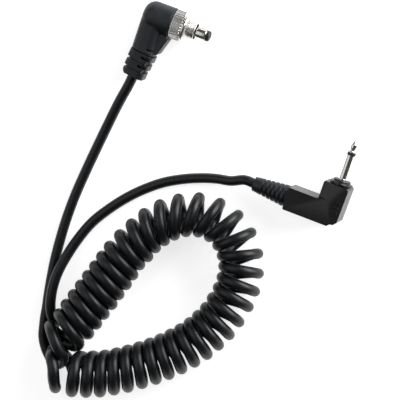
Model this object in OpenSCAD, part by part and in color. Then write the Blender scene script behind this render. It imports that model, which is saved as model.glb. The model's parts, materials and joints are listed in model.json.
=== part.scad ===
// Coiled flash sync cord: a screw-lock coaxial plug at one end, a right-angle
// miniature jack at the other, and a curly cable lying in a loop between them.
// Millimetres, +Z up, everything stands on z = 0.

/* [Cord] */
// Outer diameter of the cable
cord_d = 3.2; // [2.8:0.1:3.4]
// Outer diameter of the curled stretch
coil_d = 14.2; // [13:0.2:14.4]

/* [Coaxial plug] */
// Diameter of the knurled lock ring
ring_d = 9.2; // [8.8:0.1:9.2]
// Length of the knurled band on the lock ring
knurl_len = 3.5; // [3:0.1:3.7]
// Number of ridges round the lock ring
knurl_count = 30; // [24:2:40]
// Outside diameter of the lock thread
thread_d = 5.9; // [5.7:0.1:6.2]
// Outside diameter of the outer contact
contact_d = 3.6; // [3.5:0.05:3.7]
// Free length of the outer contact, past the lock thread
contact_len = 3.4; // [3:0.1:3.6]
// Length of the black insulator nose
nose_len = 1.2; // [1:0.1:1.5]
// Diameter of the housing round the plug axis
hub_d = 9.3; // [9.2:0.05:9.4]
// Width of the housing leg
leg_w = 7.2; // [7:0.1:7.4]
// Depth of the housing leg and the strain relief
leg_depth = 8; // [7.6:0.1:8.2]
// Length of the strain relief outside the leg
relief_len = 7.8; // [7.6:0.1:8]
// Sideways lean of the strain relief, in degrees
relief_lean = 7; // [0:1:8]

/* [Jack plug] */
// Diameter of the jack pin
pin_d = 2.5; // [2.4:0.05:2.5]
// Free length of the jack pin
pin_len = 12.6; // [12:0.1:13]
// Width of the block that carries the pin
block_w = 8.3; // [8.2:0.1:8.8]
// Thickness of the jack housing
case_depth = 8; // [7.8:0.1:8.4]
// Width of the leg that carries the cable
case_leg_w = 7; // [6.8:0.1:7.2]
// Diameter of the boot at the housing
boot_d = 7.1; // [6.6:0.1:7.2]
// Diameter of the boot at the cable
boot_end_d = 4.5; // [4.2:0.1:4.8]
// Length of the boot outside the housing
boot_len = 11.3; // [11:0.1:11.6]

/* [Hidden] */
$fn = 48;

black = [0.10, 0.11, 0.12];
nickel = [0.80, 0.80, 0.78];
brass = [0.78, 0.64, 0.36];
copper = [0.72, 0.42, 0.28];
white_plastic = [0.88, 0.88, 0.84];
eps = 0.01;

// ---- where the two plugs lie -------------------------------------------------
pc_turn = -18.7;               // how far each plug is turned about Z
jack_turn = -19;
pc_at = [-20.8, 26.5];         // plug axis at the back face of the lock ring
pc_axis_z = 4.7;
jack_at = [31.7, -19.3];       // pin axis at the top of its flange
jack_axis_z = case_depth / 2;

module at_pc() translate([pc_at.x, pc_at.y, pc_axis_z]) rotate([0, 0, pc_turn]) children();
module at_jack() translate([jack_at.x, jack_at.y, jack_axis_z]) rotate([0, 0, jack_turn]) children();

function turned(v, angle) = [
    v.x * cos(angle) - v.y * sin(angle),
    v.x * sin(angle) + v.y * cos(angle)
];

// ---- coaxial plug, in its own frame: +X out of the plug, leg towards -Y --------
cord_r = cord_d / 2;
ring_r = ring_d / 2;
ring_gap = 0.15;               // lock ring to housing, and to its stop on the barrel
ring_len = knurl_len + 0.7;    // knurl and the foot of the front lip
nose_end = ring_len + 3.4;     // front face of the threaded nose
barrel_r = 2.2;
barrel_bore_r = 1.45;
running_gap = 0.05;            // lock ring on the barrel
stop_x = 4.75;                 // back face of the barrel's front shoulder
stop_r = 2.42;
contact_r = contact_d / 2;
contact_end = nose_end + contact_len;
insulator_r = 1.15;
centre_pin_r = 0.5;
hub_r = hub_d / 2;
hub_back = -9.4;
leg_x = hub_back + leg_w / 2;  // centre line of the leg
leg_end = -10.7;
relief_top = leg_end - 0.65;
relief_x = -5.65;              // centre line of the strain relief where it starts
leg_bore_x = relief_x + 0.12;
cable_in = -7.4;               // how far the cable jacket reaches up the leg

// ---- jack plug, in its own frame: +Y along the pin, leg towards -X -------------
pin_r = pin_d / 2;
shank_r = 1.5;                 // sleeve behind its front flange
block_left = -block_w / 2 - 0.65;  // the block reaches further to the left of the pin
block_right = block_left + block_w;
block_top = -1.8;
leg_mid_y = -11.0;             // centre line of leg, boot and cable
case_leg_left = -13.9;
case_half = case_depth / 2;
boot_end = case_leg_left - boot_len;
ring_y = 7.65;                 // where the pin's insulating ring starts
ring_t = 0.9;

// ---- the cord's route ------------------------------------------------------------
relief_dir = [-sin(relief_lean), -cos(relief_lean)];
pc_exit_local = [relief_x, relief_top] + relief_dir * relief_len;
pc_exit = pc_at + turned(pc_exit_local, pc_turn);
pc_out = turned(relief_dir, pc_turn);
jack_exit = jack_at + turned([boot_end, leg_mid_y], jack_turn);
jack_out = turned([-1, 0], jack_turn);

function from_exit(p, dir, along, z) = [p.x + dir.x * along, p.y + dir.y * along, z];

// from the coaxial plug down the left side to the lower end of the curl
pc_route = concat(
    [from_exit(pc_exit, pc_out, 0, pc_axis_z), from_exit(pc_exit, pc_out, 3, pc_axis_z)],
    [
        [-38.0, 2.0, 3.6], [-42.0, -5.3, 2.2], [-45.9, -13.0, 1.65], [-49.1, -19.7, 1.65],
        [-52.1, -26.3, 1.65], [-54.9, -33.5, 1.65], [-57.2, -40.7, 1.65], [-59.0, -47.5, 1.65],
        [-60.3, -54.0, 1.65], [-61.3, -60.0, 1.65], [-61.8, -65.5, 1.65], [-61.3, -71.0, 1.65],
        [-60.0, -76.0, 1.65], [-58.7, -79.4, 1.7], [-56.1, -81.5, 1.8]
    ]
);

// from the jack's boot over an arc and across the other lead to the upper end of the curl
jack_route = concat(
    [from_exit(jack_exit, jack_out, 0, jack_axis_z), from_exit(jack_exit, jack_out, 3, jack_axis_z)],
    [
        [-3.2, -21.0, 3.2], [-8.0, -20.6, 2.1], [-13.0, -20.6, 1.65], [-18.6, -21.1, 1.65],
        [-24.6, -22.3, 1.65], [-30.6, -24.5, 1.65], [-36.2, -27.3, 1.65], [-41.9, -31.0, 1.65],
        [-47.2, -35.3, 1.7], [-51.5, -40.5, 2.2], [-54.9, -45.9, 3.4], [-57.3, -50.9, 4.7],
        [-58.8, -55.9, 5.1], [-59.4, -60.9, 4.8], [-58.8, -65.7, 3.8], [-57.2, -69.5, 2.6],
        [-54.0, -69.9, 2.0], [-51.6, -66.9, 2.0]
    ]
);

// axis of the curl, from its upper end round the loop to its lower end
curl_z = coil_d / 2;
curl_route = [
    [-52.8, -67.5, curl_z], [-49.2, -62.9, curl_z], [-44.6, -57.3, curl_z], [-40.2, -51.3, curl_z],
    [-35.6, -45.3, curl_z], [-29.8, -39.0, curl_z], [-23.2, -34.0, curl_z], [-18.4, -31.8, curl_z],
    [-13.4, -31.2, curl_z], [-8.2, -32.4, curl_z], [-3.8, -35.2, curl_z], [-0.8, -39.1, curl_z],
    [0.6, -43.7, curl_z], [0.6, -48.4, curl_z], [-0.6, -53.0, curl_z], [-2.8, -57.5, curl_z],
    [-5.8, -61.9, curl_z], [-9.8, -66.3, curl_z], [-15.0, -70.3, curl_z], [-21.0, -73.7, curl_z],
    [-27.6, -76.7, curl_z], [-35.0, -79.1, curl_z], [-42.8, -80.7, curl_z], [-50.4, -81.3, curl_z],
    [-57.4, -80.7, curl_z]
];

function unit(v) = v / norm(v);
function heading(p, i) = unit(p[min(i + 1, len(p) - 1)] - p[max(i - 1, 0)]);
function ring_of(p, i, r, sides) =
    let (t = heading(p, i), side = unit(cross(t, [0, 0, 1])), up = cross(side, t))
    [for (k = [0 : sides - 1]) let (a = 360 * k / sides) p[i] + r * (cos(a) * side + sin(a) * up)];

// A closed tube through the points of a route
module tube_along(p, r, sides) {
    rings = [for (i = [0 : len(p) - 1]) each ring_of(p, i, r, sides)];
    last = (len(p) - 1) * sides;
    walls = [
        for (i = [0 : len(p) - 2], k = [0 : sides - 1])
            let (a = i * sides + k, b = i * sides + (k + 1) % sides)
            each [[a, a + sides, b + sides], [a, b + sides, b]]
    ];
    start_cap = [for (k = [0 : sides - 1]) k];
    end_cap = [for (k = [sides - 1 : -1 : 0]) last + k];
    polyhedron(points = rings, faces = concat([start_cap, end_cap], walls), convexity = 8);
}

// ---- small shared shapes ------------------------------------------------------------
// Solid of revolution about X, from [x, radius] points
module lathe_x(points) {
    rotate([0, 90, 0]) rotate_extrude() polygon([for (p = points) [p.y, p.x]]);
}
// Solid of revolution about Y, from [y, radius] points
module lathe_y(points) {
    rotate([-90, 0, 0]) rotate_extrude() polygon([for (p = points) [p.y, p.x]]);
}
// Tube about Y from y0 to y1
module tube_y(y0, y1, r_out, r_in) lathe_y([[y0, r_in], [y0, r_out], [y1, r_out], [y1, r_in]]);
module rod_x(x0, x1, r) translate([x0, 0, 0]) rotate([0, 90, 0]) cylinder(h = x1 - x0, r = r);
module rod_y(y0, y1, r) translate([0, y0, 0]) rotate([-90, 0, 0]) cylinder(h = y1 - y0, r = r);

// Rectangle with round corners, about the origin
module round_rect(w, h, r) {
    square([w - 2 * r, h], center = true);
    square([w, h - 2 * r], center = true);
    for (x = [-1, 1], y = [-1, 1]) translate([x * (w / 2 - r), y * (h / 2 - r)]) circle(r);
}
// The same outline in X and Z, drawn out along Y from y0 down by length l
module slab_y(y0, l, w, h, r) translate([0, y0, 0]) rotate([90, 0, 0]) linear_extrude(l) round_rect(w, h, r);

// ---- coaxial plug ---------------------------------------------------------------------
// Moulded elbow: hub round the plug axis, leg for the cable, web in the inner corner
module pc_housing() {
    corner = 3;
    web_low = -3.0;
    web_high = 2.3;
    color(black) at_pc() difference() {
        union() {
            lathe_x(concat(
                [[0, 0], [hub_back, 0]],
                [for (a = [0 : 10 : 90]) [hub_back + corner * (1 - cos(a)), hub_r - corner * (1 - sin(a))]],
                [[0, hub_r]]
            ));
            translate([leg_x, 0, 0]) slab_y(-1.2, -leg_end - 1.2, leg_w, leg_depth, 2.6);
            translate([0, 0, web_low]) linear_extrude(web_high - web_low) polygon([
                [-3.6, -3.6], [-0.1, -3.6], [-0.1, -4.85], [0.4, -5.2], [-1.4, leg_end + 0.3],
                [-2.0, leg_end], [-3.6, leg_end]
            ]);
        }
        rod_x(-7.8, -0.9, 3.4);
        rod_x(-0.9 - eps, eps, barrel_r);
        translate([leg_bore_x, 0, 0]) rod_y(leg_end + 0.7, 0, 2.75);
        translate([leg_bore_x, 0, 0]) rod_y(leg_end - 1, leg_end + 0.8, 2.3);
    }
}

// Segmented sleeve that lets the cable bend where it leaves the leg
module pc_strain_relief() {
    step = 2.75;
    widths = [7.7, 7.4, 7.0];
    notch = 0.5;
    notch_depth = 1.2;
    slit_w = 2.4;
    slit_x = 1.9;
    color(black) at_pc() translate([relief_x, relief_top, 0]) rotate([0, 0, -relief_lean]) difference() {
        union() {
            for (i = [0 : 2]) slab_y(-i * step, i == 2 ? relief_len - 2 * step : step, widths[i], leg_depth, 2.2);
            rod_y(-eps, 1.8, 2.15);
            rod_y(1.8 - eps, 2.6, 2.45);
        }
        for (i = [1 : 2], side = [-1, 1])
            translate([side * (widths[i] / 2 + 0.2 - notch_depth / 2), -i * step - 0.1 + (side > 0 ? 0.4 : 0), 0])
                cube([notch_depth + 0.6, notch, leg_depth + 1], center = true);
        for (i = [0, 1], side = [-1, 1])
            translate([slit_x, -i * step - 1.2, side * leg_depth / 2])
                cube([slit_w, notch, 2.4], center = true);
        rod_y(-relief_len - eps, 3, cord_r);
    }
}

// Fixed tube that carries the contacts and on which the lock ring turns
module pc_barrel() {
    color(brass) at_pc() lathe_x([
        [-5.5, barrel_bore_r], [-5.5, barrel_r], [-1.6, barrel_r], [-1.6, 3.4], [-0.9, 3.4],
        [-0.9, barrel_r], [stop_x, barrel_r], [stop_x, stop_r], [stop_x + 0.5, stop_r],
        [stop_x + 0.5, barrel_bore_r]
    ]);
}

// Knurled ring and threaded nose in one turned piece
module pc_lock_ring() {
    root_r = ring_r - 0.22;
    thread_r = thread_d / 2;
    lip_end = ring_len + 0.75;
    neck_end = ring_len + 0.95;
    ring_bore = barrel_r + running_gap;
    ring_step = stop_x - ring_gap;
    color(nickel) at_pc() difference() {
        union() {
            translate([ring_gap, 0, 0]) rotate([0, 90, 0]) linear_extrude(knurl_len) polygon([
                for (i = [0 : 2 * knurl_count - 1])
                    let (a = 180 * i / knurl_count, r = i % 2 == 0 ? ring_r : root_r) [r * cos(a), r * sin(a)]
            ]);
            // front lip, neck behind the thread, and the nose at the thread's outside diameter
            lathe_x([
                [1, 0], [1, root_r - 0.1], [ring_len - 0.45, root_r - 0.1], [ring_len - 0.25, ring_r],
                [ring_len + 0.4, ring_r], [lip_end, root_r - 0.3],
                [lip_end, root_r - 0.7], [ring_len, root_r - 1.0], [ring_len, thread_r - 0.25],
                [neck_end - 0.15, thread_r - 0.25], [neck_end, thread_r],
                [nose_end - 0.15, thread_r], [nose_end, thread_r - 0.15], [nose_end, 0]
            ]);
        }
        rod_x(-1, nose_end + 1, ring_bore);
        rod_x(ring_step, nose_end + 1, stop_r + running_gap);
    }
}

// Slotted sleeve, the outer pole of the plug
module pc_outer_contact() {
    color(nickel) at_pc() difference() {
        lathe_x([
            [-4.5, insulator_r], [-4.5, barrel_bore_r], [nose_end + 0.3, barrel_bore_r],
            [nose_end + 0.3, contact_r], [contact_end - 0.15, contact_r],
            [contact_end, contact_r - 0.12], [contact_end, insulator_r]
        ]);
        for (a = [-70, 110]) rotate([a, 0, 0])
            translate([contact_end - 3.0, -0.14, insulator_r - 0.3]) cube([4, 0.28, 1]);
    }
}

// Black tube with a rounded head between the two poles
module pc_insulator() {
    head_r = contact_r - 0.3;
    color(black) at_pc() lathe_x([
        [-5.2, centre_pin_r], [-5.2, insulator_r], [contact_end, insulator_r], [contact_end, head_r],
        [contact_end + nose_len - 0.45, head_r], [contact_end + nose_len - 0.15, head_r - 0.18],
        [contact_end + nose_len, head_r - 0.5], [contact_end + nose_len, centre_pin_r]
    ]);
}

// Centre pole, with its solder cup at the back
module pc_centre_pin() {
    color(brass) at_pc() lathe_x([
        [-6.4, 0], [-6.4, 0.75], [-5.25, 0.75], [-5.25, centre_pin_r],
        [contact_end + nose_len - 0.45, centre_pin_r], [contact_end + nose_len - 0.2, 0.3],
        [contact_end + nose_len - 0.2, 0]
    ]);
}

// Cable jacket inside the strain relief and the leg
module pc_cable_end() {
    color(black) at_pc() translate([relief_x, relief_top, 0]) rotate([0, 0, -relief_lean])
        rod_y(-relief_len, cable_in - relief_top, cord_r);
}

// Crimped band that keeps the cable from pulling out
module pc_cable_crimp() {
    color(nickel) at_pc() translate([relief_x, relief_top, 0]) rotate([0, 0, -relief_lean])
        tube_y(2.7, 3.9, cord_r + 0.3, cord_r);
}

module pc_core_wire() color(copper) at_pc() translate([-6.0, 0, 0]) rod_y(cable_in - 0.2, -0.65, 0.35);

module pc_braid_tail() color(copper) at_pc() translate([-4.4, 0, 0]) rod_y(cable_in - 0.2, -barrel_r + 0.1, 0.45);

// ---- cord -----------------------------------------------------------------------------
module lead_pc() color(black) tube_along(pc_route, cord_r, 8);
module lead_jack() color(black) tube_along(jack_route, cord_r, 8);
module curl() color(black) tube_along(curl_route, coil_d / 2, 12);

// ---- jack plug ------------------------------------------------------------------------
// Ribbed boot with its head held in the leg
module jack_boot() {
    grooves = 6;
    first = 1.0;
    groove_step = 1.35;
    groove_w = 0.45;
    groove_depth = 0.55;
    function boot_r(x) = boot_d / 2 + (boot_end_d - boot_d) / 2 * x / boot_len;
    color(black) at_jack() translate([case_leg_left, leg_mid_y, 0]) mirror([1, 0, 0]) lathe_x(concat(
        [[-2.4, cord_r], [-2.4, 2.6], [-1.6, 2.6], [-1.6, 2.3], [0, 2.3], [0, boot_r(0)]],
        [for (i = [0 : grooves - 1]) let (x = first + i * groove_step) each [
            [x, boot_r(x)], [x + 0.05, boot_r(x) - groove_depth],
            [x + groove_w, boot_r(x) - groove_depth], [x + groove_w + 0.05, boot_r(x + groove_w)]
        ]],
        [[boot_len - 0.3, boot_r(boot_len)], [boot_len, boot_r(boot_len) - 0.3], [boot_len, cord_r]]
    ));
}

module jack_cable_end() {
    color(black) at_jack() translate([0, leg_mid_y, 0]) rod_x(boot_end, -9.8, cord_r);
}

module jack_cable_crimp() {
    color(nickel) at_jack() translate([0, leg_mid_y, 0])
        lathe_x([[-11.2, cord_r], [-11.2, cord_r + 0.3], [-10.0, cord_r + 0.3], [-10.0, cord_r]]);
}

// Outline of the jack housing: block with the pin on top, leg to the left
module case_outline() {
    leg_top = leg_mid_y + case_leg_w / 2;
    leg_bottom = leg_mid_y - case_leg_w / 2;
    polygon([
        [block_left, block_top - 0.7], [block_left + 0.7, block_top], [block_right - 0.7, block_top],
        [block_right, block_top - 0.7], [block_right - 0.3, leg_bottom + 2.0],
        [block_right - 1.3, leg_bottom + 0.9], [1.2, leg_bottom + 0.8], [0.4, leg_bottom],
        [case_leg_left + 0.6, leg_bottom], [case_leg_left, leg_bottom + 0.6],
        [case_leg_left, leg_top], [block_left, leg_top]
    ]);
}

// One half of the jack housing, its open side at z = 0 and its wall towards +Z
module case_half_shell() {
    wall = 1.2;
    room_x = block_left + wall + 0.4;
    room_w = block_w - 2 * wall - 0.4;
    facet = 1.7;
    difference() {
        linear_extrude(case_half) case_outline();
        // room for the pin's back end, its lugs and the wires
        translate([room_x, leg_mid_y - 1.6, -1]) cube([room_w, 8.6, 1 + case_half - wall]);
        // passage for the sleeve
        translate([0, -4.5, 0]) rotate([-90, 50, 0]) cylinder(h = 4, r = shank_r);
        // leg: room for the cable and the boot's head, and the lip that holds it
        translate([case_leg_left + 1.5, leg_mid_y, 0]) rotate([0, 90, 0]) cylinder(h = 10, r = 2.65);
        translate([case_leg_left - 1, leg_mid_y, 0]) rotate([0, 90, 0]) cylinder(h = 3, r = 2.35);
        // slanted face at the left of the block
        translate([0, -1, 0]) rotate([90, 0, 0]) linear_extrude(6.2) polygon([
            [block_left - 1, case_half - facet], [block_left, case_half - facet],
            [block_left + 3.2, case_half], [block_left + 3.2, case_half + 1], [block_left - 1, case_half + 1]
        ]);
    }
}

// Front half, with three grip bars
module jack_case_front() {
    bar_step = 1.5;
    bar_len = 2.6;
    bar_w = 0.6;
    bar_h = 0.35;
    color(black) at_jack() {
        case_half_shell();
        for (i = [0 : 2]) translate([-0.1, -7.2 - i * bar_step, case_half - eps]) cube([bar_len, bar_w, bar_h + eps]);
    }
}

module jack_case_back() {
    color(black) at_jack() mirror([0, 0, 1]) case_half_shell();
}

// Stepped ring that closes the housing round the pin
module jack_collar() {
    color(black) at_jack() lathe_y([
        [block_top, shank_r], [block_top, 3.5], [-1.0, 3.5], [-0.8, 3.3], [-0.8, 2.7],
        [-0.35, 2.7], [-0.15, 2.5], [-0.15, shank_r]
    ]);
}

// Outer pole of the jack: tube with a front and a back flange
module jack_sleeve() {
    bore = 0.95;
    color(nickel) at_jack() lathe_y([
        [-4.5, bore], [-4.5, 2.0], [-4.1, 2.0], [-4.1, shank_r], [-0.15, shank_r], [-0.15, 1.65],
        [0.15, 1.65], [0.25, 1.55], [0.25, pin_r], [ring_y, pin_r], [ring_y, bore]
    ]);
}

module jack_ring_insulator() color(black) at_jack() tube_y(ring_y, ring_y + ring_t, pin_r, 0.5);

module jack_inner_tube() color(white_plastic) at_jack() tube_y(-4.9, ring_y, 0.95, 0.5);

// Inner pole: shaped tip, rod, and riveted back end
module jack_tip() {
    tip_y = ring_y + ring_t;
    color(nickel) at_jack() lathe_y([
        [-6.5, 0], [-6.5, 0.6], [-6.2, 0.85], [-5.9, 0.85], [-5.9, 0.5], [tip_y, 0.5],
        [tip_y, 1.0], [tip_y + 0.35, 1.0], [tip_y + 0.6, 0.86], [tip_y + 0.95, 0.86],
        [tip_y + 1.5, 1.06], [tip_y + 2.6, 1.06], [tip_y + 3.25, 0.55], [pin_len - 0.5, 0.34],
        [pin_len - 0.1, 0.22], [pin_len, 0]
    ]);
}

// Ring-shaped solder lug on the sleeve's back flange
module jack_sleeve_lug() {
    color(brass) at_jack() difference() {
        union() {
            rod_y(-4.9, -4.5, 2.1);
            translate([-2.9, -4.9, -0.6]) cube([2.9, 0.4, 1.2]);
        }
        rod_y(-5, -4.4, 0.95);
    }
}

module jack_back_washer() color(white_plastic) at_jack() tube_y(-5.5, -4.9, 1.9, 0.5);

// Ring-shaped solder lug under the rivet head
module jack_tip_lug() {
    color(brass) at_jack() difference() {
        union() {
            rod_y(-5.9, -5.5, 1.5);
            translate([0, -5.9, -0.5]) cube([2.1, 0.4, 1.0]);
        }
        rod_y(-6, -5.4, 0.5);
    }
}

// A wire that runs along the leg at y0 and turns up to y1 at x1
module bent_wire(y0, x1, y1) {
    translate([0, y0, 0]) rod_x(-10, x1, 0.35);
    translate([x1, 0, 0]) rod_y(y0 - 0.4, y1, 0.38);
}

module jack_core_wire() color(copper) at_jack() bent_wire(leg_mid_y - 0.6, 1.75, -5.8);

module jack_braid_wire() color(copper) at_jack() bent_wire(leg_mid_y + 0.6, -2.3, -4.8);

pc_housing();
pc_strain_relief();
pc_barrel();
pc_lock_ring();
pc_outer_contact();
pc_insulator();
pc_centre_pin();
pc_cable_end();
pc_cable_crimp();
pc_core_wire();
pc_braid_tail();
lead_pc();
curl();
lead_jack();
jack_boot();
jack_cable_end();
jack_cable_crimp();
jack_case_front();
jack_case_back();
jack_collar();
jack_sleeve();
jack_ring_insulator();
jack_inner_tube();
jack_tip();
jack_sleeve_lug();
jack_back_washer();
jack_tip_lug();
jack_core_wire();
jack_braid_wire();
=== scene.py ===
import json
import math

import bmesh
import bpy
import numpy as np
from mathutils import Matrix, Vector
from mathutils.kdtree import KDTree


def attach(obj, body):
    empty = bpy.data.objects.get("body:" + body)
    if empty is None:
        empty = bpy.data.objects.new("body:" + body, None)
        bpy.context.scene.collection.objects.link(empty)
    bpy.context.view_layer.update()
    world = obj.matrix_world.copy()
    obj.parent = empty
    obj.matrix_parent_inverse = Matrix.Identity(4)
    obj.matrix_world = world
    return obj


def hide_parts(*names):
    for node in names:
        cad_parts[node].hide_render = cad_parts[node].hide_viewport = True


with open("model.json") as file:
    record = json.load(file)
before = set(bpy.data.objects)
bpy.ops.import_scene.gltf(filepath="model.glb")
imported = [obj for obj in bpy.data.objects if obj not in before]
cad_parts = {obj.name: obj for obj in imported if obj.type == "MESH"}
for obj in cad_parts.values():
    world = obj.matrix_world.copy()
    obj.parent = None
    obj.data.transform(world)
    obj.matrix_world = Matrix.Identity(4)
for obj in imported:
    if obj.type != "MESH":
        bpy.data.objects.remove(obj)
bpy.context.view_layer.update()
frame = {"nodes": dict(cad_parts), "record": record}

MM = 0.001
scene = bpy.context.scene


# ---------------------------------------------------------------- materials
def material(name, base, rough, metal=0.0, spec=0.5):
    """A material with its nodes, links and shader."""
    mat = bpy.data.materials.new(name)
    mat.use_nodes = True
    nodes = mat.node_tree.nodes
    shader = nodes["Principled BSDF"]
    shader.inputs["Base Color"].default_value = (*base, 1)
    shader.inputs["Roughness"].default_value = rough
    shader.inputs["Metallic"].default_value = metal
    shader.inputs["Specular IOR Level"].default_value = spec
    return mat, nodes, mat.node_tree.links, shader


def coords(nodes):
    return nodes.new("ShaderNodeTexCoord").outputs["Object"]


def noise(nodes, links, vec, scale, detail):
    texture = nodes.new("ShaderNodeTexNoise")
    texture.inputs["Scale"].default_value = scale
    texture.inputs["Detail"].default_value = detail
    links.new(vec, texture.inputs["Vector"])
    return texture.outputs["Fac"]


def ramp(nodes, links, fac, stops):
    """A colour ramp with two stops, each a position and a colour."""
    node = nodes.new("ShaderNodeValToRGB")
    for element, (position, color) in zip(node.color_ramp.elements, stops):
        element.position = position
        element.color = (*color, 1)
    links.new(fac, node.inputs["Fac"])
    return node.outputs["Color"]


def grey(value):
    return (value, value, value)


def bump(nodes, links, shader, height, strength, distance):
    node = nodes.new("ShaderNodeBump")
    node.inputs["Strength"].default_value = strength
    node.inputs["Distance"].default_value = distance
    links.new(height, node.inputs["Height"])
    links.new(node.outputs["Normal"], shader.inputs["Normal"])


def vary(nodes, links, shader, vec, base, spread, scale, rough):
    """Slow colour and roughness variation over a surface."""
    rough_spread = 0.05
    fac = noise(nodes, links, vec, scale, 4)
    dark = tuple(c * (1 - spread) for c in base)
    light = tuple(c * (1 + spread) for c in base)
    glossy, dull = grey(rough - rough_spread), grey(rough + rough_spread)
    links.new(ramp(nodes, links, fac, [(0.3, dark), (0.7, light)]), shader.inputs["Base Color"])
    links.new(ramp(nodes, links, fac, [(0.25, glossy), (0.75, dull)]), shader.inputs["Roughness"])


def plastic(name, base, rough, fine=9000, strength=0.08, spec=0.5):
    """Moulded or extruded plastic: slight mottling and a fine grain."""
    mat, nodes, links, shader = material(name, base, rough, spec=spec)
    vec = coords(nodes)
    vary(nodes, links, shader, vec, base, 0.18, 350, rough)
    bump(nodes, links, shader, noise(nodes, links, vec, fine, 3), strength, 0.00003)
    return mat


def metal(name, base, rough):
    """Plated or bare metal with faint handling marks."""
    mat, nodes, links, shader = material(name, base, rough, metal=1.0)
    vec = coords(nodes)
    vary(nodes, links, shader, vec, base, 0.05, 600, rough)
    bump(nodes, links, shader, noise(nodes, links, vec, 6000, 3), 0.04, 0.00002)
    return mat


M_CABLE = plastic("cable_black", (0.0050, 0.0060, 0.0080), 0.40, fine=4000, strength=0.06, spec=0.42)
M_ELBOW = plastic("elbow_black", (0.0100, 0.0128, 0.0165), 0.46)
M_RELIEF = plastic("relief_black", (0.0060, 0.0080, 0.0110), 0.44)
M_CASE = plastic("case_black", (0.0022, 0.0024, 0.0027), 0.30)
M_INSUL = plastic("insulator_black", (0.015, 0.015, 0.017), 0.4)
M_COLLAR = plastic("collar_black", (0.006, 0.006, 0.007), 0.22)
M_WHITE = plastic("insulator_white", (0.75, 0.75, 0.72), 0.5)
M_NICKEL = metal("nickel", (0.78, 0.76, 0.73), 0.2)
M_KNURL = metal("nickel_knurled", (0.80, 0.79, 0.77), 0.24)
M_BRASS = metal("brass_turned", (0.78, 0.60, 0.32), 0.28)
M_TINNED = metal("tinned", (0.66, 0.66, 0.65), 0.35)


# ---------------------------------------------------------------- camera and light
# The view is close to a parallel one: a long lens from far away.
aim = Vector((-13.6, -27.5, 0.0)) * MM
toward = Vector((0.2477, 0.1208, 0.9613)).normalized()
cam_up = Vector((-0.0302, 0.9927, -0.1170))
cam_up = (cam_up - toward * cam_up.dot(toward)).normalized()
cam_right = cam_up.cross(toward)
view_width = 0.1212
distance = 1.6
cam_data = bpy.data.cameras.new("camera")
cam_data.sensor_width = 36
cam_data.lens = cam_data.sensor_width * distance / view_width
cam_data.clip_start = 0.05
cam_data.clip_end = 20
cam = bpy.data.objects.new("camera", cam_data)
rot = Matrix((cam_right, cam_up, toward)).transposed()
cam.matrix_world = Matrix.Translation(aim + toward * distance) @ rot.to_4x4()
scene.collection.objects.link(cam)
scene.camera = cam


def from_view(right, up, out):
    """A direction given along the picture's right, its up and towards the camera."""
    return (cam_right * right + cam_up * up + toward * out).normalized()


def area_light(name, direction, dist, size, size_y, power, color=(1, 1, 1)):
    d = bpy.data.lights.new(name, "AREA")
    d.shape = "RECTANGLE"
    d.size = size
    d.size_y = size_y
    d.energy = power
    d.color = color
    o = bpy.data.objects.new(name, d)
    o.location = aim + direction * dist
    o.rotation_euler = (-direction).to_track_quat("-Z", "Y").to_euler()
    scene.collection.objects.link(o)
    return o


def power(radiance, size, size_y):
    """Watts of an area light that looks this bright."""
    return radiance * math.pi * size * size_y


area_light("key", from_view(0.70, 0.46, 0.56), 0.9, 0.85, 0.7, power(7.0, 0.85, 0.7))
area_light("fill", from_view(-0.78, 0.15, 0.6), 1.0, 1.1, 1.1, power(0.8, 1.1, 1.1))

world = bpy.data.worlds.new("studio")
world.use_nodes = True
world.node_tree.nodes["Background"].inputs["Color"].default_value = (1, 1, 1, 1)
world.node_tree.nodes["Background"].inputs["Strength"].default_value = 0.06
scene.world = world
scene.view_settings.view_transform = "Standard"



def pale_floor():
    """A wide plane that glows a little, so that it stays near white in the picture."""
    mat, nodes, links, shader = material("floor_pale", grey(0.9), 0.8)
    fac = noise(nodes, links, coords(nodes), 30, 4)
    links.new(ramp(nodes, links, fac, [(0.3, grey(0.88)), (0.7, grey(0.92))]), shader.inputs["Base Color"])
    shader.inputs["Emission Color"].default_value = (1, 1, 1, 1)
    shader.inputs["Emission Strength"].default_value = 0.75
    bpy.ops.mesh.primitive_plane_add(size=3, location=(0, 0, -0.00002))
    plane = bpy.context.object
    plane.name = "floor"
    plane.data.materials.append(mat)
    return plane


floor = pale_floor()

# ---------------------------------------------------------------- where the plugs lie
def plug_frame(mount_name, along, axis_heading):
    """A plug's own frame in millimetres, from its mount's place and axis in the record.

    along is how far the mount lies from the frame's origin, and axis_heading is the axis's heading in the
    frame. The record rounds its numbers, so they go back to the tenths that the design uses.
    """
    mount = next(m for m in frame["record"]["mounts"] if m["name"] == mount_name)
    axis = mount["axis"]
    origin = [round(p / MM - a * along, 1) for p, a in zip(mount["pos_m"], axis)]
    turn = round(math.degrees(math.atan2(axis[1], axis[0])) - axis_heading, 1)
    return Matrix.Translation(origin) @ Matrix.Rotation(math.radians(turn), 4, "Z")


PC = plug_frame("pc_contact", 9.4, 0)      # +x out of the plug, leg towards -y
JACK = plug_frame("jack_plug", 4.4, 90)    # +y along the pin, leg towards -x

# Strain relief of the coaxial plug, and the jack's leg, in their plugs' frames
RELIEF_X, RELIEF_TOP, RELIEF_LEN = -5.65, -11.35, 7.8
RELIEF_LEAN = math.radians(7)
LEG_MID, BOOT_END = -11.0, -25.2

# ---------------------------------------------------------------- the cord
CORD_R = 1.6
COIL_R = 5.45
CROSS_FROM, CROSS_FOR = 0.37, 0.5   # where in a turn the wire crosses over to the next one, and for how long

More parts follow.
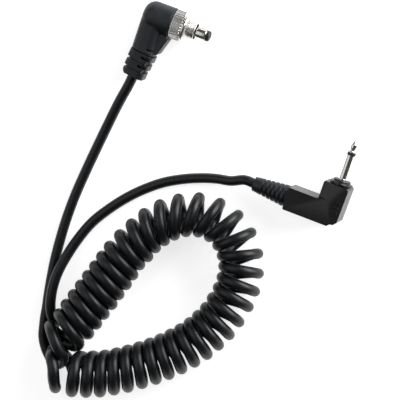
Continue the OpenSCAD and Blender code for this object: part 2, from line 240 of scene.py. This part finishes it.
# The curl, as the flat rings that its turns are: turn, centre x, centre y, heading from the outer side
# of the loop to its inner side, in degrees. Turn 1 is at the jack's lead, turn 37 at the coaxial plug's.
RINGS = [
    (0, -60.6, -75.9, -84), (1, -56.8, -71.6, -69), (2, -52.5, -67.1, -53), (3, -49.8, -63.7, -48),
    (5, -45.0, -57.4, -45), (7, -40.6, -51.5, -45), (9, -36.0, -45.3, -48), (10, -33.2, -42.1, -55),
    (12, -26.8, -36.2, -71), (13, -22.8, -33.7, -81), (14, -18.3, -32.0, -94), (15, -13.4, -31.3, -109),
    (16, -8.5, -32.1, -125), (17, -4.2, -34.4, -141), (18, -1.0, -38.2, -157), (19, 0.7, -42.9, -174),
    (20, 1.0, -47.5, -189), (21, 0.1, -52.0, -200), (22, -1.5, -56.0, -209), (23, -3.9, -60.0, -218),
    (24, -6.5, -63.5, -225), (26, -12.5, -69.0, -237), (28, -19.5, -73.2, -248), (30, -26.7, -76.4, -257),
    (32, -34.6, -79.0, -266), (34, -42.6, -80.8, -274), (35, -46.7, -81.1, -277), (36, -51.0, -81.1, -279),
    (37, -57.3, -80.2, -267), (38, -62.1, -78.4, -250),
]
# How thick the wire looks along the curl, against the cord's diameter: turn, factor
STOUT = [
    (0, 1.04), (1, 1.1), (3, 1.16), (9, 1.14), (13, 1.08), (16, 1.04), (19, 1.0), (23, 1.04),
    (28, 1.12), (36, 1.17), (38, 1.08),
]
LEAD_JACK, LEAD_CROSSING, LEAD_PC = 0.95, 1.03, 0.99
# How far the top of a turn stands to the left of its foot in the picture: turn, millimetres
OPEN = [
    (0, 0.3), (3, 0.4), (6, 0.7), (9, 1.1), (12, 1.4), (15, 1.5), (17, 1.2), (19, 0.3),
    (21, 0.0), (30, 0.2), (36, 0.5), (38, 0.6),
]


def catmull(pts, per):
    """Centripetal Catmull-Rom line through pts; per is the number of steps to each point."""
    p = [2 * pts[0] - pts[1]] + list(pts) + [2 * pts[-1] - pts[-2]]
    out = []
    for i in range(1, len(p) - 2):
        a, b, c, d = p[i - 1], p[i], p[i + 1], p[i + 2]
        t = [0.0]
        for u, v in ((a, b), (b, c), (c, d)):
            t.append(t[-1] + max((v - u).length, 1e-6) ** 0.5)
        for k in range(per):
            s = t[1] + (t[2] - t[1]) * k / per
            a1 = a * (t[1] - s) / t[1] + b * s / t[1]
            a2 = b * (t[2] - s) / (t[2] - t[1]) + c * (s - t[1]) / (t[2] - t[1])
            a3 = c * (t[3] - s) / (t[3] - t[2]) + d * (s - t[2]) / (t[3] - t[2])
            b1 = a1 * (t[2] - s) / t[2] + a2 * s / t[2]
            b2 = a2 * (t[3] - s) / (t[3] - t[1]) + a3 * (s - t[1]) / (t[3] - t[1])
            out.append(b1 * (t[2] - s) / (t[2] - t[1]) + b2 * (s - t[1]) / (t[2] - t[1]))
    out.append(Vector(pts[-1]))
    return out


def smooth_table(table):
    """Cubic through (t, value...) rows, with slopes from the neighbours."""
    t = [r[0] for r in table]
    v = [np.array(r[1:], float) for r in table]
    slope = []
    for i in range(len(t)):
        a, b = max(i - 1, 0), min(i + 1, len(t) - 1)
        slope.append((v[b] - v[a]) / (t[b] - t[a]))

    def at(x):
        i = max(k for k in range(len(t) - 1) if t[k] <= x or k == 0)
        h = t[i + 1] - t[i]
        s = (x - t[i]) / h
        return (v[i] * (2 * s**3 - 3 * s**2 + 1) + slope[i] * h * (s**3 - 2 * s**2 + s)
                + v[i + 1] * (-2 * s**3 + 3 * s**2) + slope[i + 1] * h * (s**3 - s**2))
    return at


ring_at = smooth_table(RINGS)
stout_at = smooth_table(STOUT)
open_at = smooth_table(OPEN)


def turn_point(t):
    """Point of the wire at turn t: whole numbers are on top of a ring, and a quarter later its outer side."""
    g = t - CROSS_FROM
    n = math.floor(g)
    w = min((g - n) / CROSS_FOR, 1)
    x, y, heading = ring_at(min(max(n + w * w * (3 - 2 * w), 0), 38))
    inner = Vector((math.cos(math.radians(heading)), math.sin(math.radians(heading)), 0))
    up = (toward - inner * toward.dot(inner)).normalized()
    f = 2 * math.pi * t
    centre = Vector((x, y, CORD_R * stout_at(t)[0] + 0.05 + COIL_R * up.z))
    side = Vector((inner.y, -inner.x, 0))
    lean = side * side.dot(Vector((-0.9, -0.44, 0))) * float(open_at(t)[0]) * 0.5 * (1 + math.cos(f))
    return centre + COIL_R * (math.cos(f) * up - math.sin(f) * inner) + lean


pc_out = PC.to_3x3() @ Vector((-math.sin(RELIEF_LEAN), -math.cos(RELIEF_LEAN), 0))
pc_exit = PC @ Vector((RELIEF_X - RELIEF_LEN * math.sin(RELIEF_LEAN),
                       RELIEF_TOP - RELIEF_LEN * math.cos(RELIEF_LEAN), 0))
jack_out = JACK.to_3x3() @ Vector((-1, 0, 0))
jack_exit = JACK @ Vector((BOOT_END, LEG_MID, 0))

jack_lead = [jack_exit, jack_exit + jack_out * 3] + [Vector(p) for p in (
    (-3.2, -21.0, 3.2), (-8.0, -20.6, 2.1), (-13.0, -20.6, 1.65), (-18.6, -21.1, 1.65),
    (-24.6, -22.3, 1.65), (-30.6, -24.5, 1.65), (-36.2, -27.3, 1.65), (-41.9, -31.0, 1.65),
    (-47.2, -35.3, 1.7), (-51.5, -40.5, 2.2), (-54.9, -45.9, 3.4), (-57.3, -50.9, 4.7),
    (-58.8, -55.9, 5.1), (-59.5, -60.9, 4.7), (-59.5, -65.5, 3.2), (-59.1, -69.1, 2.0),
)]
pc_lead = [pc_exit, pc_exit + pc_out * 3] + [Vector(p) for p in (
    (-38.0, 2.0, 3.6), (-42.0, -5.3, 2.2), (-45.9, -13.0, 1.65), (-49.1, -19.7, 1.65),
    (-52.1, -26.3, 1.65), (-54.9, -33.5, 1.65), (-57.2, -40.7, 1.65), (-59.0, -47.5, 1.65),
    (-60.3, -54.0, 1.65), (-61.3, -60.0, 1.65), (-61.8, -65.5, 1.65), (-61.3, -71.0, 1.65),
    (-59.9, -76.0, 1.65), (-59.8, -80.5, 1.8), (-59.1, -84.1, 3.6),
)]
FIRST, LAST, PER_TURN = 0.56, 37.28, 32
steps = int(round((LAST - FIRST) * PER_TURN))
turns = [FIRST + (LAST - FIRST) * i / steps for i in range(steps + 1)]
coil = [turn_point(t) for t in turns]


def lead_in(route, a, b):
    """The smooth way along a lead's route and into the curl at its first points a and b."""
    pts = catmull(route + [a, b], 8)
    return pts[:-8]


head = lead_in(jack_lead, coil[0], coil[1])
tail = lead_in(pc_lead, coil[-1], coil[-2])
line = head + coil[1:-1] + tail[::-1]
thicken = [LEAD_JACK + (LEAD_CROSSING - LEAD_JACK) * i / len(head) for i in range(len(head))]
stout = thicken + [float(stout_at(t)[0]) for t in turns[1:-1]] + [LEAD_PC] * len(tail)


def resample(pts, values, gap):
    """Points every gap along a line, each with the value that belongs there."""
    d = [0.0]
    for a, b in zip(pts, pts[1:]):
        d.append(d[-1] + (b - a).length)
    n = int(round(d[-1] / gap))
    out, vals, k = [], [], 0
    for i in range(n + 1):
        x = d[-1] * i / n
        while k < len(d) - 2 and d[k + 1] < x:
            k += 1
        s = (x - d[k]) / max(d[k + 1] - d[k], 1e-9)
        out.append(pts[k].lerp(pts[k + 1], s))
        vals.append(values[k] + (values[k + 1] - values[k]) * s)
    return out, vals


def soften(values, rounds):
    v = np.array(values, float)
    for _ in range(rounds):
        v[1:-1] = 0.25 * v[:-2] + 0.5 * v[1:-1] + 0.25 * v[2:]
    return v


def relaxed(pts, radius, rounds, gap):
    """Pushes the wire off itself and off the floor where it is too close, and keeps it smooth there."""
    own_stretch = 7.0      # a point ignores the wire this near to it along its length
    clearance = 0.02
    share = 0.4            # how much of an overlap one round takes out
    longest_step = 0.2
    homing = 0.03          # how much of the way back to its place a point goes in one round
    above_floor = 0.03
    held = 6               # points at each end that stay where they are
    p = np.array([tuple(q) for q in pts])
    apart = int(round(own_stretch / gap))
    n = len(p)
    free = np.ones(n)
    free[:held] = 0
    free[-held:] = 0
    home = p.copy()
    reach = 2 * float(radius.max()) + clearance
    for _ in range(rounds):
        tree = KDTree(n)
        for i in range(n):
            tree.insert(p[i], i)
        tree.balance()
        push = np.zeros_like(p)
        for i in range(n):
            for _, j, dist in tree.find_range(p[i], reach):
                need = radius[i] + radius[j] + clearance
                if abs(i - j) > apart and need > dist > 1e-6:
                    push[i] += (p[i] - p[j]) / dist * (need - dist) * share
        size = np.linalg.norm(push, axis=1)
        big = size > longest_step
        push[big] *= (longest_step / size[big])[:, None]
        # spread each push along the wire, so that it bends instead of kinking
        for _ in range(4):
            push[1:-1] = 0.25 * push[:-2] + 0.5 * push[1:-1] + 0.25 * push[2:]
        p += push * free[:, None]
        p += (home - p) * homing
        p[:, 2] = np.maximum(p[:, 2], radius + above_floor)
    return [Vector(q) for q in p]


GAP = 1.0
line, stout = resample(line, stout, GAP)
stout = soften(stout, rounds=12)
line = relaxed(line, CORD_R * stout, rounds=60, gap=GAP)
line = catmull(line, 2)
stout = np.interp(np.arange(len(line)) / 2, np.arange(len(stout)), stout)

curve = bpy.data.curves.new("cord", "CURVE")
curve.dimensions = "3D"
spline = curve.splines.new("POLY")
spline.points.add(len(line) - 1)
for point, q, r in zip(spline.points, line, stout):
    point.co = (q.x * MM, q.y * MM, q.z * MM, 1)
    point.radius = float(r)
spline.use_smooth = True
curve.bevel_depth = CORD_R * MM
curve.bevel_resolution = 6
curve.use_fill_caps = True
curve.materials.append(M_CABLE)
cord = bpy.data.objects.new("cord", curve)
scene.collection.objects.link(cord)
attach(cord, "cord")
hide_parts("lead_pc", "curl", "lead_jack")

# ---------------------------------------------------------------- making the plugs' pieces
# Each piece is built in its plug's own frame in millimetres, then put in place.
def lathe_rings(profile, axis, sides):
    """Vertices and faces of a solid of revolution about x or y, from (along, radius) points."""
    verts, rings = [], []
    for along, r in profile:
        if r < 1e-6:
            rings.append([len(verts)])
            verts.append((along, 0, 0) if axis == "x" else (0, along, 0))
            continue
        rings.append(list(range(len(verts), len(verts) + sides)))
        for k in range(sides):
            a = 2 * math.pi * k / sides
            u, v = r * math.cos(a), r * math.sin(a)
            verts.append((along, u, v) if axis == "x" else (v, along, u))
    faces = []
    pairs = list(zip(rings, rings[1:]))
    if len(rings[0]) > 1 and len(rings[-1]) > 1:
        pairs.append((rings[-1], rings[0]))
    for p, q in pairs:
        for k in range(sides):
            n = (k + 1) % sides
            if len(p) == 1 and len(q) == 1:
                continue
            if len(p) == 1:
                faces.append((p[0], q[n], q[k]))
            elif len(q) == 1:
                faces.append((p[k], p[n], q[0]))
            else:
                faces.append((p[k], p[n], q[n], q[k]))
    return verts, faces


def obj_from(name, verts, faces):
    me = bpy.data.meshes.new(name)
    me.from_pydata([tuple(v) for v in verts], [], faces)
    bm = bmesh.new()
    bm.from_mesh(me)
    bmesh.ops.recalc_face_normals(bm, faces=bm.faces)
    bm.to_mesh(me)
    bm.free()
    o = bpy.data.objects.new(name, me)
    scene.collection.objects.link(o)
    return o


def lathe(name, profile, axis="x", sides=96, at=(0, 0, 0)):
    verts, faces = lathe_rings(profile, axis, sides)
    return obj_from(name, [Vector(v) + Vector(at) for v in verts], faces)


def rounded(profile, radius, steps=3):
    """A (along, radius) profile with its corners cut round; a corner given as a triple stays as it is."""
    out = []
    n = len(profile)
    for i, p in enumerate(profile):
        q = Vector(p[:2])
        if i in (0, n - 1) or len(p) > 2:
            out.append(tuple(q))
            continue
        a, b = Vector(profile[i - 1][:2]) - q, Vector(profile[i + 1][:2]) - q
        r = min(radius, a.length * 0.45, b.length * 0.45)
        p0, p1 = q + a.normalized() * r, q + b.normalized() * r
        for k in range(steps + 1):
            t = k / steps
            out.append(tuple(p0 * (1 - t) ** 2 + q * 2 * t * (1 - t) + p1 * t * t))
    return out


def prism(name, outline, low, high, axis="z"):
    """An outline of (x, y) points drawn out along z, or of (x, z) points along y."""
    n = len(outline)
    place = (lambda u, v, w: (u, v, w)) if axis == "z" else (lambda u, v, w: (u, w, v))
    verts = [place(u, v, low) for u, v in outline] + [place(u, v, high) for u, v in outline]
    faces = [tuple(range(n))[::-1], tuple(range(n, 2 * n))]
    faces += [(k, (k + 1) % n, n + (k + 1) % n, n + k) for k in range(n)]
    return obj_from(name, verts, faces)


def box(name, low, high):
    outline = [(low[0], low[1]), (high[0], low[1]), (high[0], high[1]), (low[0], high[1])]
    return prism(name, outline, low[2], high[2])


def round_rect(w, h, r, steps=6, cx=0.0, cy=0.0):
    """Outline of a rectangle with round corners."""
    pts = []
    for k, (sx, sy) in enumerate(((1, 1), (-1, 1), (-1, -1), (1, -1))):
        for j in range(steps + 1):
            a = math.radians(90 * k + 90 * j / steps)
            pts.append((cx + sx * (w / 2 - r) + r * math.cos(a), cy + sy * (h / 2 - r) + r * math.sin(a)))
    return pts


def bake(o):
    """Applies an object's modifiers to its mesh."""
    deps = bpy.context.evaluated_depsgraph_get()
    me = bpy.data.meshes.new_from_object(o.evaluated_get(deps))
    old = o.data
    o.modifiers.clear()
    o.data = me
    bpy.data.meshes.remove(old)
    return o


def combine(o, others, how):
    """Joins others to o, or cuts them out of it, and removes them."""
    for other in others:
        m = o.modifiers.new("combine", "BOOLEAN")
        m.operation = how
        m.solver = "EXACT"
        m.object = other
    bake(o)
    for other in others:
        bpy.data.objects.remove(other)
    return o


def soften_shape(o, voxel, rounds):
    """Gives sharp edges the small radius of a moulding."""
    m = o.modifiers.new("remesh", "REMESH")
    m.mode = "VOXEL"
    m.voxel_size = voxel
    m.use_smooth_shade = True
    m = o.modifiers.new("smooth", "SMOOTH")
    m.iterations = rounds
    m.factor = 0.5
    return bake(o)


def bevel(o, width, segments=3, angle=30):
    m = o.modifiers.new("bevel", "BEVEL")
    m.width = width
    m.segments = segments
    m.limit_method = "ANGLE"
    m.angle_limit = math.radians(angle)
    return bake(o)


def finish_piece(o, matrix, mat, body, replaces=(), smooth_angle=40):
    me = o.data
    me.transform(Matrix.Scale(MM, 4) @ matrix)
    me.materials.clear()
    me.materials.append(mat)
    for poly in me.polygons:
        poly.use_smooth = True
        poly.material_index = 0
    bm = bmesh.new()
    bm.from_mesh(me)
    for e in bm.edges:
        e.smooth = len(e.link_faces) == 2 and e.calc_face_angle(0) < math.radians(smooth_angle)
    bm.to_mesh(me)
    bm.free()
    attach(o, body)
    if replaces:
        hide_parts(*replaces)
    return o


# ---------------------------------------------------------------- coaxial plug
LEG_X, LEG_W, LEG_D, LEG_END = -5.8, 7.2, 8.0, -10.7
HUB_R, HUB_BACK = 4.65, -9.4


def elbow():
    """Moulded elbow: hub, leg and the web in the inner corner, hollow inside."""
    corner = 3.2
    hub = [(0, 0), (0, HUB_R)]
    hub += [(HUB_BACK + corner * (1 - math.sin(a)), HUB_R - corner * (1 - math.cos(a)))
            for a in (math.radians(10 * k) for k in range(0, 10))]
    hub += [(HUB_BACK, 0)]
    o = lathe("elbow", hub)
    leg = prism("leg", round_rect(LEG_W, LEG_D, 2.5, cx=LEG_X), LEG_END, -1.2, "y")
    # the leg's end is square to the leaning strain relief
    for v in leg.data.vertices:
        if v.co.y < LEG_END + 0.1:
            v.co.y -= (v.co.x - HUB_BACK) * math.tan(RELIEF_LEAN)
    web = prism("web", [(-3.6, -3.4), (-0.1, -3.4), (-0.1, -4.75), (0.55, -5.1), (-1.2, LEG_END + 0.2),
                        (-1.8, LEG_END), (-3.6, LEG_END)], -3.0, 2.4)
    combine(o, [leg, web], "UNION")
    cavity = lathe("cavity", [(-7.8, 0), (-7.8, 3.4), (-0.9, 3.4), (-0.9, 2.2), (1, 2.2), (1, 0)])
    way = lathe("way", [(LEG_END - 2, 0), (LEG_END - 2, 2.35), (LEG_END + 0.75, 2.35), (LEG_END + 0.75, 2.75),
                        (0, 2.75), (0, 0)], "y", at=(LEG_X + 0.27, 0, 0))
    slits = [box("slit", (-4.45, -10.25, side * 3.6 - 0.9), (-1.85, -9.55, side * 3.6 + 0.9))
             for side in (-1, 1)]
    combine(o, [cavity, way] + slits, "DIFFERENCE")
    soften_shape(o, 0.13, 4)
    return finish_piece(o, PC, M_ELBOW, "cord", ("pc_housing",), 60)


def relief():
    """Strain relief: three blocks with notches at both sides and slits in front and behind."""
    lean = Matrix.Translation((RELIEF_X, RELIEF_TOP, 0)) @ Matrix.Rotation(-RELIEF_LEAN, 4, "Z")
    step = 2.75
    blocks = ((7.7, 7.9), (7.4, 7.7), (7.0, 7.4))    # width and depth of each
    notch_half, slit_half = 0.42, 0.36
    parts = []
    for i, (w, d) in enumerate(blocks):
        end = -RELIEF_LEN if i == 2 else -(i + 1) * step
        parts.append(prism("block", round_rect(w, d, 1.9), end - 0.02, -i * step, "y"))
    neck = lathe("neck", [(-0.2, 0), (-0.2, 2.15), (1.8, 2.15), (1.8, 2.45), (2.6, 2.45), (2.6, 0)], "y")
    o = combine(parts[0], parts[1:] + [neck], "UNION")
    cuts = []
    for i in (1, 2):
        for side in (-1, 1):
            y = -i * step - 0.1 + (0.4 if side > 0 else 0)
            x = side * (blocks[i][0] / 2 - 1.15)
            low, high = sorted((x, side * 6))
            cuts.append(box("cut", (low, y - notch_half, -6), (high, y + notch_half, 6)))
    for i in (0, 1):
        for side in (-1, 1):
            y = -i * step - 1.25
            z = side * 3.5
            cuts.append(box("cut", (0.6, y - slit_half, z - 0.9), (3.1, y + slit_half, z + 0.9)))
    # the lowest block is chamfered to the cable at the left
    chamfer_top, chamfer_end = -RELIEF_LEN + 1.0, -RELIEF_LEN - 0.1
    chamfer = [(-5, chamfer_top), (-3.55, chamfer_top), (-2.3, chamfer_end), (-5, chamfer_end)]
    cuts.append(prism("cut", chamfer, -6, 6))
    bore = [(-RELIEF_LEN - 1, 0), (-RELIEF_LEN - 1, 1.62), (3.5, 1.62), (3.5, 0)]
    cuts.append(lathe("bore", bore, "y"))
    combine(o, cuts, "DIFFERENCE")
    soften_shape(o, 0.12, 3)
    return finish_piece(o, PC @ lean, M_RELIEF, "cord", ("pc_strain_relief",), 60)


def grid_of_revolution(name, xs, radius, sides, inner):
    """A surface about x whose radius depends on x and the angle, closed inside by a profile of (x, r)."""
    verts, faces = [], []
    rows = [(x, None) for x in xs] + [(x, r) for x, r in inner]
    for x, r in rows:
        for k in range(sides):
            a = 2 * math.pi * k / sides
            q = radius(x, a) if r is None else r
            verts.append((x, q * math.cos(a), q * math.sin(a)))
    n = len(rows)
    for i in range(n):
        j = (i + 1) % n
        for k in range(sides):
            m = (k + 1) % sides
            faces.append((i * sides + k, i * sides + m, j * sides + m, j * sides + k))
    return obj_from(name, verts, faces)


def smooth01(x):
    x = min(max(x, 0), 1)
    return x * x * (3 - 2 * x)


RING_BORE = 2.25


def lock_ring():
    """Knurled band of the lock ring and its turned lip."""
    ridges, per = 30, 12
    crest, root = 4.6, 4.2
    k0, k1 = 0.15, 3.65
    sides = ridges * per
    wave = [0.0, 0.1, 0.45, 0.85, 1.0, 1.0, 1.0, 1.0, 0.85, 0.45, 0.1, 0.0]

    def knurl(x, a):
        k = int(round(a / (2 * math.pi) * sides)) % per
        ends = smooth01((x - k0) / 0.25) * smooth01((k1 - x) / 0.3)
        return root + (crest - root) * wave[k] * ends

    xs = [k0, k0 + 0.08, k0 + 0.16, k0 + 0.3, k0 + 0.6, 1.5, 2.4, k1 - 0.6, k1 - 0.3, k1 - 0.15, k1]
    lip = rounded([(k1, root), (3.78, root), (3.95, crest), (4.5, 4.58), (4.95, 4.15), (4.92, 3.85),
                   (4.3, 3.35), (4.25, 2.75), (4.3, 2.7)], 0.14)
    o = grid_of_revolution("lock_ring", xs, knurl, sides, lip + [(4.3, RING_BORE), (k0, RING_BORE)])
    return finish_piece(o, PC, M_KNURL, "lock_ring", ("pc_lock_ring",), 40)


def lock_nose():
    """Threaded nose of the lock ring, which carries on from its lip."""
    start, end = 4.3, 7.6
    pitch, major, minor = 0.5, 2.95, 2.68
    steps = 66
    xs = [start + (end - start) * i / steps for i in range(steps + 1)]

    def thread(x, a):
        f = (x / pitch + a / (2 * math.pi)) % 1.0
        tooth = 1 - abs(2 * f - 1)
        h = smooth01(tooth * 1.25 - 0.1)
        fade = smooth01((x - 5.0) / 0.3) * smooth01((7.1 - x) / 0.2)
        rim = smooth01((x - 7.12) / 0.1) * (1 - 0.55 * smooth01((x - 7.45) / 0.15) ** 2)
        return minor + (major - minor) * max(h * fade, rim)

    inside = [(end, 2.62), (7.52, 2.47), (4.6, 2.47), (4.6, RING_BORE), (start, RING_BORE)]
    o = grid_of_revolution("lock_nose", xs, thread, 120, inside)
    return finish_piece(o, PC, M_NICKEL, "lock_ring", (), 50)


def outer_contact():
    """Slotted sleeve, with the thin tube behind it that the barrel holds."""
    sleeve = [(7.9, 1.5), (7.9, 1.8), (10.75, 1.8), (10.98, 1.72), (10.98, 1.34), (10.7, 1.2), (7.9, 1.2)]
    o = lathe("outer_contact", rounded(sleeve, 0.07), sides=72)
    rear = lathe("rear", [(-4.5, 1.16), (-4.5, 1.45), (7.95, 1.45), (7.95, 1.16)], sides=48)
    combine(o, [rear], "UNION")
    cuts = []
    for turn in (-70, 110):
        c = box("cut", (8.1, -0.13, 0.9), (11.5, 0.13, 2.3))
        c.data.transform(Matrix.Rotation(math.radians(turn), 4, "X"))
        cuts.append(c)
    combine(o, cuts, "DIFFERENCE")
    bevel(o, 0.03, 2)
    return finish_piece(o, PC, M_NICKEL, "cord", ("pc_outer_contact",))


def insulator():
    """Black tube with a rounded nose, open in the middle for the centre pin."""
    front, corner = 12.2, 0.55
    nose = [(front - corner * (1 - math.cos(a)), 1.1 + corner * math.sin(a))
            for a in (math.radians(15 * k) for k in range(0, 7))]
    profile = [(-5.2, 0.5), (-5.2, 1.15), (10.9, 1.15), (10.9, 1.55), (11.0, 1.65)] + nose[::-1]
    profile += [(front, 0.7), (12.05, 0.5)]
    o = lathe("insulator", profile, sides=64)
    return finish_piece(o, PC, M_INSUL, "cord", ("pc_insulator",))


# ---------------------------------------------------------------- jack plug
CASE_TOP = -1.8


def boot():
    """Tapered boot with deep grooves; its head sits in the housing."""
    start, length, r0, r1 = -13.95, 11.25, 3.5, 2.25

    def r(x):
        return r0 + (r1 - r0) * x / length

    pts = [(-2.4, 1.6), (-2.4, 2.6), (-1.6, 2.6), (-1.6, 2.3), (0.0, 2.3), (0.0, r(0))]
    depth = 0.5
    for k in range(6):
        x = 0.55 + 1.45 * k
        pts += [(x, r(x)), (x + 0.06, r(x) - depth), (x + 0.38, r(x) - depth), (x + 0.46, r(x + 0.45))]
    pts += [(length, r(length) - 0.05), (length, 1.6)]
    profile = rounded(pts, 0.16, 3)
    o = lathe("boot", [(-x, q) for x, q in profile], sides=72, at=(start, LEG_MID, 0))
    return finish_piece(o, JACK, M_RELIEF, "cord", ("jack_boot",))


def case_half(front):
    """One half of the jack housing, hollow, with the slanted face at the left of its block."""
    half, left, right = 4.0, -4.8, 3.5
    leg_low, leg_high, leg_left = LEG_MID - 3.5, LEG_MID + 3.5, -13.9
    outline = [(left, CASE_TOP - 0.5), (left + 0.5, CASE_TOP), (right - 0.6, CASE_TOP),
               (right, CASE_TOP - 0.6), (right - 0.25, leg_low + 2.0), (right - 1.2, leg_low + 0.95),
               (1.3, leg_low + 0.8), (0.5, leg_low), (leg_left + 0.3, leg_low), (leg_left, leg_low + 0.3),
               (leg_left, leg_high), (left, leg_high)]
    o = prism("case", outline, 0, half)
    room = box("cut", (-3.2, -12.6, -1), (2.3, -4.0, 2.8))
    sleeve_way = lathe("cut", [(-4.5, 0), (-4.5, 1.5), (-1, 1.5), (-1, 0)], "y")
    cable_way = lathe("cut", [(-12.4, 0), (-12.4, 2.65), (-2.4, 2.65), (-2.4, 0)], at=(0, LEG_MID, 0))
    boot_way = lathe("cut", [(-15, 0), (-15, 2.35), (-12.3, 2.35), (-12.3, 0)], at=(0, LEG_MID, 0))
    slant = prism("cut", [(left - 1, half - 1.7), (left, half - 1.7), (left + 3.1, half),
                          (left + 3.1, half + 1), (left - 1, half + 1)], -7.2, -1.0, "y")
    combine(o, [room, sleeve_way, cable_way, boot_way, slant], "DIFFERENCE")
    bevel(o, 0.2, 3, 25)
    if front:
        bars = [box("bar", (-0.1, y - 0.3, 3.8), (2.5, y + 0.3, 4.36)) for y in (-6.9, -8.4, -9.9)]
        for bar in bars:
            bevel(bar, 0.24, 5)
        combine(o, bars, "UNION")
    else:
        o.data.transform(Matrix.Scale(-1, 4, (0, 0, 1)))
        o.data.flip_normals()
    o.name = "case_front" if front else "case_back"
    node = "jack_case_front" if front else "jack_case_back"
    return finish_piece(o, JACK, M_CASE, "cord", (node,), 35)


def collar():
    """Stepped ring that closes the housing round the pin."""
    steps = [(CASE_TOP, 1.5), (CASE_TOP, 3.5), (-1.15, 3.5), (-0.95, 3.3), (-0.95, 2.75), (-0.4, 2.7),
             (-0.15, 2.45), (-0.15, 1.5)]
    o = lathe("collar", rounded(steps, 0.16), "y", sides=80)
    return finish_piece(o, JACK, M_COLLAR, "cord", ("jack_collar",))


def jack_ring():
    """Insulating ring between the pin's sleeve and its tip."""
    band = [(7.65, 0.5), (7.65, 1.3), (8.55, 1.3), (8.55, 0.5)]
    o = lathe("ring_insulator", rounded(band, 0.1), "y", sides=64)
    return finish_piece(o, JACK, M_INSUL, "cord", ("jack_ring_insulator",))


elbow()
relief()
lock_ring()
lock_nose()
outer_contact()
insulator()
boot()
case_half(True)
case_half(False)
collar()
jack_ring()

# ---------------------------------------------------------------- CAD nodes that stay
LOOK = {
    "pc_barrel": M_NICKEL, "pc_centre_pin": M_BRASS, "pc_cable_end": M_CABLE,
    "pc_cable_crimp": M_TINNED, "pc_core_wire": M_TINNED, "pc_braid_tail": M_TINNED,
    "jack_cable_end": M_CABLE, "jack_cable_crimp": M_TINNED,
    "jack_sleeve": M_NICKEL, "jack_inner_tube": M_WHITE,
    "jack_tip": M_NICKEL, "jack_sleeve_lug": M_BRASS, "jack_back_washer": M_WHITE, "jack_tip_lug": M_BRASS,
    "jack_core_wire": M_TINNED, "jack_braid_wire": M_TINNED,
}
for node, mat in LOOK.items():
    o = frame["nodes"][node]
    if not o.material_slots:
        o.data.materials.append(mat)
    for s in o.material_slots:
        s.material = mat
